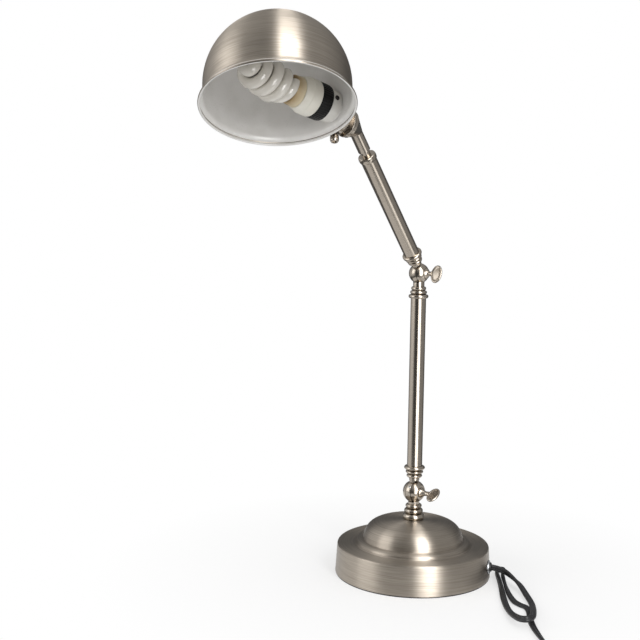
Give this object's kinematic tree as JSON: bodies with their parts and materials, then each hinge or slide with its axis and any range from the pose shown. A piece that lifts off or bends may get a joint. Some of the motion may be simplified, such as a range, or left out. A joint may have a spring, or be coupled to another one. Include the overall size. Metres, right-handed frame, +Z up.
{
  "type": "dome shade desk lamp",
  "caption": "Desk lamp with a weighted round base, jointed arms on thumb-screw knuckles, a swivelling stem and a turning dome shade over a spiral bulb.",
  "frame": {"origin": "on the floor under the middle of the round base, at the felt pad's lower face", "axes": "+Z up, the arms lean toward -Y, the thumb screws are on the +X side"},
  "size_m": [0.3512, 0.3616, 0.5615],
  "materials": {
    "nickel": "satin nickel plate, brushed round the turned parts",
    "shade_nickel": "satin nickel outside, white enamel inside and on the rolled lip",
    "cast_iron": "rough, painted dark",
    "felt": "felt",
    "brass": "plain turned",
    "zinc_steel": "zinc plated",
    "dark_steel": "blackened",
    "black_plastic": "matt",
    "black_pvc": "soft matt PVC",
    "fibre": "vulcanised fibre",
    "nylon": "natural nylon",
    "white_phenolic": "glazed white",
    "black_phenolic": "moulded phenolic",
    "bulb_cap_tin": "plain spun",
    "white_plastic": "moulded white",
    "aged_plastic": "heat-aged beige",
    "coated_glass": "white phosphor coat under clear glass"
  },
  "bodies": {
    "base": {"base_cover": "nickel", "base_weight": "cast_iron", "felt_pad": "felt", "base_nipple": "brass", "base_nut": "zinc_steel", "cord_grommet": "zinc_steel", "cord_bushing": "black_plastic", "base_knuckle": "nickel", "base_pivot_nut": "brass", "base_washers": "fibre", "base_set_screw": "zinc_steel", "base_lead": "black_pvc", "cord_loops": "black_pvc", "cord_coil": "black_pvc", "cord_tail": "black_pvc", "cord_tie": "black_plastic", "plug_body": "black_pvc", "plug_blades": "brass"},
    "base_thumb": {"base_thumbscrew": "nickel"},
    "lower_arm": {"lower_arm_foot": "nickel", "lower_tube": "nickel", "elbow_knuckle": "nickel", "elbow_pivot_nut": "brass", "elbow_washers": "fibre", "lower_lead": "black_pvc"},
    "elbow_thumb": {"elbow_thumbscrew": "nickel"},
    "upper_arm": {"upper_arm_foot": "nickel", "upper_tube": "nickel", "tube_end_ring": "nickel", "upper_lead": "black_pvc"},
    "stem": {"swivel_neck": "nickel", "neck_clip": "zinc_steel", "saddle_sleeve": "nickel", "saddle_nipple": "brass", "nipple_nut": "zinc_steel"},
    "head": {"socket_cup": "nickel", "switch_body": "black_plastic", "shade": "shade_nickel", "shade_screws": "dark_steel", "holder_sleeve": "white_phenolic", "lampholder": "black_phenolic", "screw_shell": "brass", "centre_contact": "brass", "holder_screw": "dark_steel", "bulb_cap": "bulb_cap_tin", "bulb_ballast": "white_plastic", "bulb_collar": "aged_plastic", "bulb_spiral": "coated_glass"},
    "knob": {"switch_shaft": "nylon", "switch_knob": "nickel"}
  },
  "joints": [
    {"name": "base_tilt", "type": "hinge", "parent": "base", "child": "lower_arm", "pos_m": [0, 0, 0.088], "axis": [1, 0, 0], "range_deg": [-30, 45]},
    {"name": "elbow_tilt", "type": "hinge", "parent": "lower_arm", "child": "upper_arm", "pos_m": [0, 0, 0.3205], "axis": [1, 0, 0], "range_deg": [-60, 45]},
    {"name": "stem_swivel", "type": "hinge", "parent": "upper_arm", "child": "stem", "pos_m": [0, 0.00184, 0.32204], "axis": [0, -0.6428, 0.766], "range_deg": [-170, 170]},
    {"name": "shade_turn", "type": "hinge", "parent": "stem", "child": "head", "pos_m": [0.00327, -0.13018, 0.46578], "axis": [-0.232, -0.9368, 0.262], "range_deg": [-60, 60]},
    {"name": "switch_knob_turn", "type": "hinge", "parent": "head", "child": "knob", "pos_m": [-0.01173, -0.13247, 0.47331], "axis": [0.3081, -0.3262, -0.8937], "continuous": true},
    {"name": "base_thumbscrew_turn", "type": "hinge", "parent": "base", "child": "base_thumb", "pos_m": [0, 0, 0.088], "axis": [1, 0, 0], "range_deg": [-180, 180]},
    {"name": "elbow_thumbscrew_turn", "type": "hinge", "parent": "lower_arm", "child": "elbow_thumb", "pos_m": [0, 0, 0.3205], "axis": [1, 0, 0], "range_deg": [-180, 180]}
  ]
}
